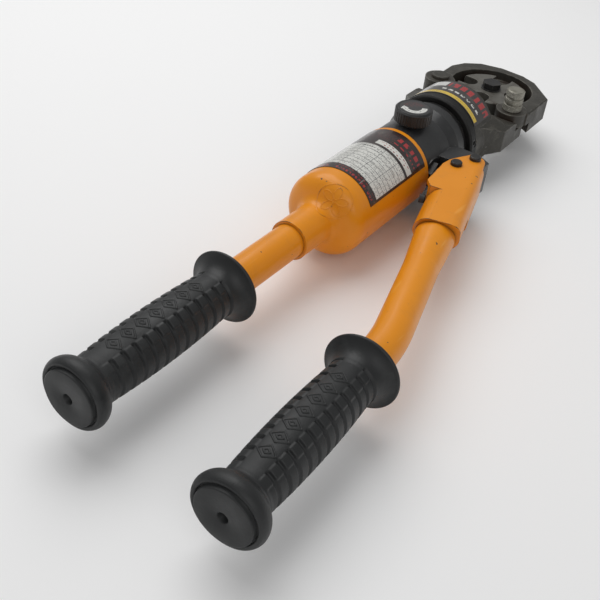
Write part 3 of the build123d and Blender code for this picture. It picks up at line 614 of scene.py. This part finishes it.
def laid_marks_tree():
    """Copies of an outline along a line, made into a raised bead, dropped on the target from +Z."""
    tree = bpy.data.node_groups.new("laid_marks", "GeometryNodeTree")
    given, known = tree_inputs(tree, [
        ("Outline", "NodeSocketObject", None), ("Target", "NodeSocketObject", None),
        ("Count", "NodeSocketInt", 7), ("Start", "NodeSocketVector", None),
        ("Step", "NodeSocketVector", None),
        ("Turn", "NodeSocketFloat", 0.0), ("Bead", "NodeSocketFloat", 0.0005),
        ("Sink", "NodeSocketFloat", 0.0002), ("Material", "NodeSocketMaterial", None)])
    line = wire(tree, "GeometryNodeMeshLine", {"Count": given["Count"], "Start Location": given["Start"],
                                              "Offset": given["Step"]}, mode="OFFSET")
    outline = wire(tree, "GeometryNodeObjectInfo", {"Object": given["Outline"]})
    turn = wire(tree, "ShaderNodeCombineXYZ", {2: given["Turn"]})
    copies = wire(tree, "GeometryNodeInstanceOnPoints", {0: line.outputs[0],
                                                         "Instance": outline.outputs["Geometry"],
                                                         "Rotation": turn.outputs[0]})
    real = wire(tree, "GeometryNodeRealizeInstances", {0: copies.outputs[0]})
    path = wire(tree, "GeometryNodeMeshToCurve", {0: real.outputs[0]})
    target = wire(tree, "GeometryNodeObjectInfo", {"Object": given["Target"]})
    down = wire(tree, "GeometryNodeRaycast", {"Target Geometry": target.outputs["Geometry"],
                                              "Ray Direction": (0, 0, -1), "Ray Length": 0.2})
    lift = wire(tree, "ShaderNodeVectorMath", {0: down.outputs["Hit Normal"]}, operation="SCALE")
    tree.links.new(given["Sink"], lift.inputs["Scale"])
    spot = wire(tree, "ShaderNodeVectorMath", {0: down.outputs["Hit Position"], 1: lift.outputs[0]},
                operation="SUBTRACT")
    laid = wire(tree, "GeometryNodeSetPosition", {0: path.outputs[0], "Position": spot.outputs[0]})
    bead = wire(tree, "GeometryNodeCurvePrimitiveCircle", {"Resolution": 8, "Radius": given["Bead"]})
    body = wire(tree, "GeometryNodeCurveToMesh", {0: laid.outputs[0], 1: bead.outputs[0]})
    close_tree(tree, body.outputs[0], given["Material"])
    return tree, known


def run_tree(name, tree, known, values):
    """Runs a tree on an empty mesh and gives back its result as a plain smooth mesh object."""
    holder = bpy.data.objects.new(name + "_holder", bpy.data.meshes.new(name + "_holder"))
    bpy.context.scene.collection.objects.link(holder)
    modifier = holder.modifiers.new("nodes", "NODES")
    modifier.node_group = tree
    for label, value in values.items():
        modifier[known[label]] = value
    evaluated = holder.evaluated_get(bpy.context.evaluated_depsgraph_get())
    mesh = bpy.data.meshes.new_from_object(evaluated)
    mesh.name = name
    holder.modifiers.remove(modifier)
    bpy.data.objects.remove(holder)
    mesh.shade_smooth()
    made = bpy.data.objects.new(name, mesh)
    bpy.context.scene.collection.objects.link(made)
    print(name, len(mesh.polygons), "faces from its tree")
    return made


def loop_outline(name, loops):
    """An unshown object of closed edge loops in plan, for the tree to copy."""
    points, edges = [], []
    for loop in loops:
        first = len(points)
        points += [(x * MM, y * MM, 0) for x, y in loop]
        edges += [(first + i, first + (i + 1) % len(loop)) for i in range(len(loop))]
    mesh = bpy.data.meshes.new(name)
    mesh.from_pydata(points, edges, [])
    shape = bpy.data.objects.new(name, mesh)
    bpy.context.scene.collection.objects.link(shape)
    return shape


laid_marks, laid_inputs = laid_marks_tree()
print("tree:", laid_marks.name, "with", len(laid_inputs), "inputs")


# %% Lozenges on the grips and a rosette on the shoulder
def spaced(corners, count):
    """A closed outline with extra points on each side, so that it can bend over a surface."""
    out = []
    for index, (x, y) in enumerate(corners):
        nx, ny = corners[(index + 1) % len(corners)]
        out += [(x + (nx - x) * i / count, y + (ny - y) * i / count) for i in range(count)]
    return out


lozenge = loop_outline("lozenge", [spaced([(-5.2, 0), (0, 4.0), (5.2, 0), (0, -4.0)], 6),
                                   spaced([(-2.0, 0), (0, 1.5), (2.0, 0), (0, -1.5)], 3)])
mark_count, mark_step = 7, 10.4
first_mark = (band_start + band_end) / 2 - (mark_count - 1) / 2 * mark_step
for node, body, place, lean in (("rear_grip", "tool_body", Matrix.Identity(4), 0.0),
                                ("pump_grip", "pump_handle", pump_grip_place, pump_grip_lean)):
    start = place @ Vector((0, first_mark * MM, 0.05))
    step = place.to_3x3() @ Vector((0, mark_step * MM, 0))
    marks = run_tree(node + "_marks", laid_marks, laid_inputs, {
        "Outline": lozenge, "Target": grips[node], "Count": mark_count, "Start": start, "Step": step,
        "Turn": lean, "Bead": 0.00062, "Sink": 0.00012, "Material": grip_rubber})
    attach(marks, body)


def oval(middle, long_half, wide_half, count):
    """Points in mm round an oval whose middle lies on the x axis."""
    return [(middle + long_half * math.cos(t), wide_half * math.sin(t))
            for t in np.linspace(0, math.tau, count, endpoint=False)]


petal_count = 5
petals = []
petal = oval(5.0, 4.0, 2.3, 20)
for number in range(petal_count):
    turn = math.tau * number / petal_count
    petals.append([(x * math.cos(turn) - y * math.sin(turn), x * math.sin(turn) + y * math.cos(turn))
                   for x, y in petal])
rosette = loop_outline("rosette", [oval(0.0, 11.4, 10.6, 60)] + petals)
rosette_middle, rosette_faces = Vector((0.0090, 0.2170, 0.0170)), Vector((0.18, -0.85, 0.50))
to_plan = rosette_faces.rotation_difference(Vector((0, 0, 1))).to_matrix().to_4x4()
turned_housing = nodes["reservoir_housing"].copy()
turned_housing.data = turned_housing.data.copy()
turned_housing.data.transform(to_plan)
bpy.context.scene.collection.objects.link(turned_housing)
shoulder = run_tree("reservoir_rosette", laid_marks, laid_inputs, {
    "Outline": rosette, "Target": turned_housing, "Count": 1, "Step": Vector((0, 0.01, 0)), "Turn": 0.3,
    "Start": to_plan @ rosette_middle + Vector((0, 0, 0.06)), "Bead": 0.00055, "Sink": 0.00030,
    "Material": orange_enamel})
shoulder.data.transform(to_plan.inverted())
bpy.data.objects.remove(turned_housing)
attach(shoulder, "tool_body")
for outline in (lozenge, rosette):
    bpy.data.objects.remove(outline)


# %% [markdown]
# ## Printed labels
# A label is a thin film bent round a cylinder. It gets its own mesh with a UV map, so that its
# printing follows the film: U runs round it and V along the tool. The printing is drawn with steps
# and cells: a rectangle is where two steps overlap, and small type is a grid of cells switched on or
# off at random, which reads as fine print from a distance and says nothing from near.

# %% Film shape
def wrap_film(name, node, body, film):
    """A closed film over a CAD label, with its U from one side to the other and V from rear to front."""
    low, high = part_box(node)
    radius = high.z
    half = math.asin(min(1.0, high.x / radius))
    round_steps, long_steps = 72, 30
    grid = bmesh.new()
    corners = []
    for i in range(round_steps + 1):
        turn = half * (2 * i / round_steps - 1)
        corners.append([grid.verts.new((radius * math.sin(turn), low.y + (high.y - low.y) * j / long_steps,
                                        radius * math.cos(turn))) for j in range(long_steps + 1)])
    uv = grid.loops.layers.uv.new("UVMap")
    for i in range(round_steps):
        for j in range(long_steps):
            face = grid.faces.new((corners[i][j], corners[i + 1][j], corners[i + 1][j + 1],
                                   corners[i][j + 1]))
            for loop, (u, v) in zip(face.loops, ((i, j), (i + 1, j), (i + 1, j + 1), (i, j + 1))):
                loop[uv].uv = (u / round_steps, v / long_steps)
    grid.faces.ensure_lookup_table()
    grid.normal_update()
    edge = corners[0][0].co
    if grid.faces[0].normal.dot(Vector((edge.x, 0, edge.z))) < 0:
        bmesh.ops.reverse_faces(grid, faces=grid.faces)
    mesh = bpy.data.meshes.new(name)
    grid.to_mesh(mesh)
    grid.free()
    piece = bpy.data.objects.new(name, mesh)
    bpy.context.scene.collection.objects.link(piece)
    thick = piece.modifiers.new("thick", "SOLIDIFY")
    thick.thickness = 0.00028
    thick.offset = -1
    solid = bpy.data.meshes.new_from_object(piece.evaluated_get(bpy.context.evaluated_depsgraph_get()))
    piece.modifiers.clear()
    piece.data = solid
    solid.name = name
    solid.shade_smooth()
    solid.set_sharp_from_angle(angle=math.radians(40))
    paint(piece, film)
    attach(piece, body)
    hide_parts(node)
    print(name, len(solid.polygons), "faces")
    return piece


# %% Printing helpers
class Print(Finish):
    """A finish that draws on U and V."""

    def __init__(self, name, rough):
        super().__init__(name, rough, coat=0.5)
        flat = self.node("ShaderNodeUVMap", {}, uv_map="UVMap").outputs[0]
        parts = self.node("ShaderNodeSeparateXYZ", {0: flat}).outputs
        self.u, self.v = parts[0], parts[1]

    def area(self, left, right, rear, front):
        """1 inside a rectangle."""
        return self.math("MULTIPLY", self.inside(self.u, left, right), self.inside(self.v, rear, front))

    def lines(self, value, places, width):
        """1 on thin lines at the given places."""
        mask = self.inside(value, places[0] - width, places[0] + width)
        for place in places[1:]:
            mask = self.math("MAXIMUM", mask, self.inside(value, place - width, place + width))
        return mask

    def type_cells(self, across, along, filled, seed, share=0.42):
        """Random dots inside the cells of a grid, with clear gaps between the cells."""
        wide, tall = self.math("MULTIPLY", self.u, across), self.math("MULTIPLY", self.v, along)
        gap = self.math("MULTIPLY", self.inside(self.math("FRACT", wide), 0.16, 0.84),
                        self.inside(self.math("FRACT", tall), 0.22, 0.78))
        dots = []
        for place, fine in ((wide, 3.0), (tall, 4.0)):
            dots.append(self.math("FLOOR", self.math("MULTIPLY", place, fine)))
        cells = self.math("FLOOR", wide), self.math("FLOOR", tall)
        masks = []
        for (x, y), limit, shift in ((dots, share, 0.0), (cells, 1 - filled, 71.0)):
            spot = self.node("ShaderNodeCombineXYZ", {0: x, 1: y, 2: seed + shift})
            chance = self.node("ShaderNodeTexWhiteNoise", {0: spot.outputs[0]}).outputs["Value"]
            masks.append(self.math("GREATER_THAN", chance, limit))
        return self.math("MULTIPLY", gap, self.math("MULTIPLY", masks[0], masks[1]))

    def both(self, first, second):
        """1 where both masks are 1."""
        return self.math("MULTIPLY", first, second)


black_ink, red_ink, white_ink = (0.010, 0.007, 0.007), (0.36, 0.020, 0.022), (0.66, 0.66, 0.62)


# %% The reservoir's label
def make_reservoir_film():
    """A pale table between a narrow dark strip at the rear and a wide dark field in front."""
    film = Print("reservoir_film", 0.30)
    field = film.mix(film.noise(85, 3), black_ink, (0.024, 0.009, 0.008))
    patch = film.both(film.area(0.26, 0.60, 0.78, 0.985), film.type_cells(46, 30, 0.9, 5.0))
    colour = film.mix(film.both(patch, 0.55), field, (0.12, 0.03, 0.028))
    big_red = film.both(film.area(0.60, 0.95, 0.80, 0.955), film.type_cells(12, 9.5, 1.0, 2.0, 0.26))
    colour = film.mix(big_red, colour, red_ink)
    rear_red = film.both(film.area(0.03, 0.95, 0.02, 0.085), film.type_cells(26, 15.5, 0.95, 3.0, 0.3))
    colour = film.mix(rear_red, colour, red_ink)
    table = film.area(0.018, 0.972, 0.108, 0.625)
    colour = film.mix(table, colour, white_ink)
    small = film.type_cells(58, 40, 0.62, 1.0)
    colour = film.mix(film.both(film.both(table, small), 0.8), colour, (0.05, 0.05, 0.055))
    heading = film.both(film.area(0.30, 0.62, 0.565, 0.615), film.type_cells(36, 20, 0.95, 8.0))
    colour = film.mix(heading, colour, (0.03, 0.03, 0.03))
    rules = film.math("MAXIMUM", film.lines(film.v, [0.17, 0.23, 0.29, 0.35, 0.41, 0.47, 0.53], 0.0027),
                      film.lines(film.u, [0.22, 0.40, 0.62, 0.80], 0.0024))
    colour = film.mix(film.both(film.both(table, rules), 0.85), colour, (0.05, 0.05, 0.055))
    strip = film.area(0.46, 0.972, 0.665, 0.745)
    colour = film.mix(strip, colour, white_ink)
    strip_type = film.both(film.area(0.49, 0.94, 0.68, 0.73), film.type_cells(24, 17, 0.75, 4.0))
    colour = film.mix(strip_type, colour, (0.30, 0.03, 0.03))
    rubbed = film.ramp(film.noise(120, 6, 0.7), 0.54, 0.74, 0.0, 0.4)
    colour = film.mix(rubbed, colour, (0.24, 0.22, 0.19))
    scuff = film.ramp(film.noise(230, 3, 0.6, (1.0, 0.12, 1.0)), 0.66, 0.72, 0.0, 0.4)
    colour = film.mix(scuff, colour, (0.42, 0.40, 0.37))
    return film.finish(colour, film.ramp(film.noise(60, 4), 0.3, 0.7, 0.24, 0.42),
                       film.noise(240, 3), 0.00005, 0.3)


wrap_film("reservoir_print", "reservoir_label", "tool_body", make_reservoir_film())


# %% The head's label
def make_head_film():
    """A yellow strip at the rear, then a dark field with a row of pale marks and a row of red ones."""
    film = Print("head_film", 0.30)
    colour = film.mix(film.noise(90, 3), black_ink, (0.045, 0.040, 0.038))
    strip = film.area(0.05, 0.965, 0.035, 0.20)
    colour = film.mix(strip, colour, (0.66, 0.46, 0.045))
    fine = film.both(film.area(0.10, 0.93, 0.07, 0.145), film.type_cells(40, 13, 0.7, 6.0))
    colour = film.mix(film.both(fine, 0.6), colour, (0.16, 0.10, 0.02))
    pale = film.both(film.area(0.40, 0.93, 0.30, 0.46), film.type_cells(13, 6.2, 0.9, 9.0, 0.3))
    colour = film.mix(pale, colour, white_ink)
    red = film.both(film.area(0.42, 0.985, 0.56, 0.95), film.type_cells(11, 1.92, 1.0, 12.0, 0.24))
    colour = film.mix(red, colour, red_ink)
    badge = film.area(0.24, 0.40, 0.60, 0.94)
    colour = film.mix(badge, colour, (0.62, 0.62, 0.60))
    glare = film.both(film.area(0.02, 0.24, 0.20, 0.97), 0.55)
    colour = film.mix(glare, colour, (0.34, 0.32, 0.31))
    rubbed = film.ramp(film.noise(130, 6, 0.7), 0.52, 0.72, 0.0, 0.65)
    colour = film.mix(film.both(rubbed, 0.6), colour, (0.16, 0.15, 0.14))
    return film.finish(colour, film.ramp(film.noise(70, 4), 0.3, 0.7, 0.24, 0.42),
                       film.noise(240, 3), 0.00005, 0.3)


wrap_film("head_print", "head_label", "tool_body", make_head_film())


# %% [markdown]
# ## The release knob's dial
# A white arrow bends round the dial to show which way the knob closes. The dial is a flat disc, so
# its pattern needs only the distance and the angle from the knob's axis.

# %% Dial finish
def make_dial_film():
    """A dark disc with a curved white arrow, and a patch of small red marks."""
    low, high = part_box("knob_dial")
    centre = (low + high) / 2
    radius = (high.x - low.x) / 2
    film = Finish("dial_film", 0.34, coat=0.3)
    x, y, _ = film.axes()
    east = film.math("DIVIDE", film.math("SUBTRACT", x, centre.x), radius)
    north = film.math("DIVIDE", film.math("SUBTRACT", y, centre.y), radius)
    out = film.math("SQRT", film.math("ADD", film.math("MULTIPLY", east, east),
                                      film.math("MULTIPLY", north, north)))
    facing = math.radians(-52.0)
    swing = film.math("ARCTAN2", film.math("SUBTRACT", film.math("MULTIPLY", north, math.cos(facing)),
                                           film.math("MULTIPLY", east, math.sin(facing))),
                      film.math("ADD", film.math("MULTIPLY", east, math.cos(facing)),
                                film.math("MULTIPLY", north, math.sin(facing))))
    band = film.math("MULTIPLY", film.inside(out, 0.50, 0.86), film.inside(swing, -1.35, 1.45))
    widen = film.ramp(swing, -1.85, -1.30, 0.0, 0.32)
    off_middle = film.math("ABSOLUTE", film.math("SUBTRACT", out, 0.68))
    tip = film.math("MULTIPLY", film.math("LESS_THAN", off_middle, widen), film.inside(swing, -1.85, -1.32))
    arrow = film.math("MAXIMUM", band, tip)
    dots = film.math("GREATER_THAN", film.noise(900, 2), 0.55)
    inner = film.math("MULTIPLY", film.math("LESS_THAN", off_middle, 0.06),
                      film.math("MULTIPLY", dots, arrow))
    colour = film.mix(film.noise(200, 3), (0.018, 0.018, 0.019), (0.036, 0.034, 0.034))
    upper = film.math("MULTIPLY", film.math("LESS_THAN", out, 0.78), film.math("GREATER_THAN",
                      film.math("ABSOLUTE", swing), 1.95))
    specks = film.math("MULTIPLY", upper, film.math("GREATER_THAN", film.noise(1100, 1), 0.58))
    colour = film.mix(film.math("MULTIPLY", specks, 0.6), colour, (0.20, 0.03, 0.03))
    colour = film.mix(arrow, colour, (0.66, 0.66, 0.63))
    colour = film.mix(film.math("MULTIPLY", inner, 0.7), colour, (0.10, 0.10, 0.10))
    return film.finish(colour, film.ramp(film.noise(200, 3), 0.3, 0.7, 0.28, 0.42), film.noise(700, 2),
                       0.00004, 0.3)


paint(nodes["knob_dial"], make_dial_film())


# %% [markdown]
# ## Return spring
# A coil spring inside the barrel sends the ram home, and it closes up as the ram comes forward. A
# coil has four numbers, its turns, radius, length and wire, so a spiral in a small tree makes it.

# %% Return spring
def coil_tree():
    """A round wire wound about the main axis."""
    tree = bpy.data.node_groups.new("coil", "GeometryNodeTree")
    given, known = tree_inputs(tree, [
        ("Turns", "NodeSocketFloat", 3.5), ("Radius", "NodeSocketFloat", 0.02),
        ("Length", "NodeSocketFloat", 0.03), ("Start", "NodeSocketFloat", 0.0),
        ("Wire", "NodeSocketFloat", 0.001),
        ("Material", "NodeSocketMaterial", None)])
    spiral = wire(tree, "GeometryNodeCurveSpiral", {
        "Resolution": 40, "Rotations": given["Turns"], "Start Radius": given["Radius"],
        "End Radius": given["Radius"], "Height": given["Length"]})
    section = wire(tree, "GeometryNodeCurvePrimitiveCircle", {"Resolution": 12, "Radius": given["Wire"]})
    round_wire = wire(tree, "GeometryNodeCurveToMesh", {0: spiral.outputs[0], 1: section.outputs[0],
                                                        "Fill Caps": True})
    start = wire(tree, "ShaderNodeCombineXYZ", {1: given["Start"]})
    placed = wire(tree, "GeometryNodeTransform", {0: round_wire.outputs[0], "Translation": start.outputs[0],
                                                 "Rotation": (-math.pi / 2, 0, 0)})
    close_tree(tree, placed.outputs[0], given["Material"])
    return tree, known


spring_low, spring_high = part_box("return_spring")
spring_long = spring_high.y - spring_low.y
spring_stroke, spring_wire, spring_turns = 0.018, 0.0013, 3.5
coil, coil_inputs = coil_tree()
return_coil = run_tree("return_coil", coil, coil_inputs, {
    "Turns": spring_turns, "Radius": spring_high.x - spring_wire, "Length": spring_long - 2 * spring_wire,
    "Start": spring_low.y + spring_wire, "Wire": spring_wire, "Material": spring_steel})
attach(return_coil, "tool_body")
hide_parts("return_spring")
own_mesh(return_coil)


# %% [markdown]
# ## Knurl on the latch pin
# The pull knob of the latch pin has three knurled bands for the fingers. A knurl is rows of tiny
# pyramids, each row shifted by half a step: a ring of points, an instance on each, and a stack of
# such rings.

# %% The knurl tree
def knurl_tree():
    """Rows of small pyramids round a vertical band."""
    tree = bpy.data.node_groups.new("knurl", "GeometryNodeTree")
    given, known = tree_inputs(tree, [
        ("Radius", "NodeSocketFloat", 0.007), ("Around", "NodeSocketInt", 34), ("Rows", "NodeSocketInt", 4),
        ("Row Step", "NodeSocketVector", None), ("Start", "NodeSocketVector", None),
        ("Tooth", "NodeSocketFloat", 0.0007), ("Rise", "NodeSocketFloat", 0.0004),
        ("Material", "NodeSocketMaterial", None)])
    rows = wire(tree, "GeometryNodeMeshLine", {"Count": given["Rows"], "Start Location": given["Start"],
                                              "Offset": given["Row Step"]}, mode="OFFSET")
    index = wire(tree, "GeometryNodeInputIndex", {})
    odd = wire(tree, "ShaderNodeMath", {0: index.outputs[0], 1: 2.0}, operation="MODULO")
    half_step = wire(tree, "ShaderNodeMath", {0: math.pi, 1: given["Around"]}, operation="DIVIDE")
    shift = wire(tree, "ShaderNodeMath", {0: odd.outputs[0], 1: half_step.outputs[0]}, operation="MULTIPLY")
    turn = wire(tree, "ShaderNodeCombineXYZ", {2: shift.outputs[0]})
    ring = wire(tree, "GeometryNodeMeshCircle", {"Vertices": given["Around"], "Radius": given["Radius"]})
    tooth = wire(tree, "GeometryNodeMeshCone", {"Vertices": 4, "Radius Top": 0.0001,
                                                "Radius Bottom": given["Tooth"], "Depth": given["Rise"]})
    out = wire(tree, "GeometryNodeInputPosition", {})
    face = wire(tree, "FunctionNodeAlignRotationToVector", {"Vector": out.outputs[0]}, axis="Z")
    teeth = wire(tree, "GeometryNodeInstanceOnPoints", {0: ring.outputs[0], "Instance": tooth.outputs[0],
                                                        "Rotation": face.outputs[0]})
    stacked = wire(tree, "GeometryNodeInstanceOnPoints", {0: rows.outputs[0], "Instance": teeth.outputs[0],
                                                          "Rotation": turn.outputs[0]})
    close_tree(tree, stacked.outputs[0], given["Material"])
    return tree, known


# %% Knurl the three bands
knurl, knurl_inputs = knurl_tree()
knob_low, knob_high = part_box("latch_knob")
knob_centre = (knob_low + knob_high) / 2
knurl_bands = ((0.7, 4, 6.95), (6.9, 3, 6.75), (11.9, 4, 6.55))
for number, (height, rows, radius) in enumerate(knurl_bands):
    bottom = Vector((knob_centre.x, knob_centre.y, knob_low.z + height * MM))
    band = run_tree(f"latch_knurl_{number + 1}", knurl, knurl_inputs, {
        "Radius": radius * MM, "Around": 34, "Rows": rows, "Row Step": Vector((0, 0, 0.0011)),
        "Start": bottom, "Tooth": 0.00078, "Rise": 0.0004, "Material": latch_steel})
    band.data.shade_flat()
    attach(band, "latch_body")
